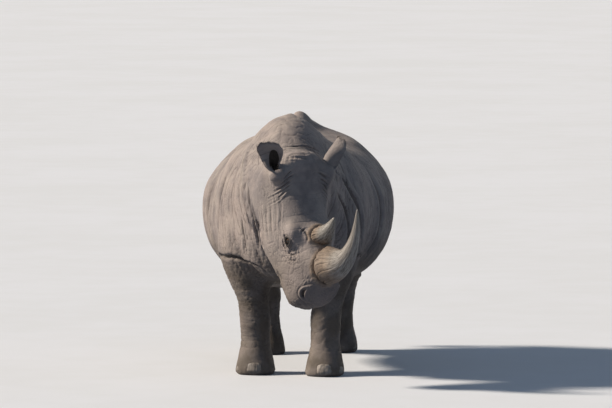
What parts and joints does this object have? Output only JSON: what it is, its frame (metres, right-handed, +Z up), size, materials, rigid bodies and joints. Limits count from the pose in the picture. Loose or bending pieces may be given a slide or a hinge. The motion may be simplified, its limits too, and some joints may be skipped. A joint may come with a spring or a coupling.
{
  "type": "rhinoceros",
  "caption": "Life-size white rhinoceros standing with its head lowered and turned to its left, as a still museum model with two horns, upright ears and a hanging tail",
  "frame": {"origin": "on the floor, under the middle of the bounding box", "axes": "+Z up; the head is towards -Y and the tail towards +Y; +X is the animal's left"},
  "size_m": [1.3078, 3.2044, 1.7511],
  "materials": {
    "hide": "dry, wrinkled and dusty",
    "leg_hide": "dry, wrinkled and dusty, darker towards the feet",
    "ear_hide": "dry and thin, with short hairs on the rim",
    "horn": "fibrous and worn, paler towards the tip",
    "eye": "wet and glossy",
    "nail": "worn and scratched"
  },
  "bodies": {
    "root": {"horn_front": "horn", "horn_rear": "horn", "ear_left": "ear_hide", "eye_left": "eye", "ear_right": "ear_hide", "eye_right": "eye", "head": "hide", "neck": "hide", "trunk": "hide", "tail": "hide", "nail_front_left_inner": "nail", "nail_front_left_middle": "nail", "nail_front_left_outer": "nail", "leg_front_left": "leg_hide", "nail_front_right_inner": "nail", "nail_front_right_middle": "nail", "nail_front_right_outer": "nail", "leg_front_right": "leg_hide", "nail_hind_left_inner": "nail", "nail_hind_left_middle": "nail", "nail_hind_left_outer": "nail", "leg_hind_left": "leg_hide", "nail_hind_right_inner": "nail", "nail_hind_right_middle": "nail", "nail_hind_right_outer": "nail", "leg_hind_right": "leg_hide"}
  },
  "joints": []
}
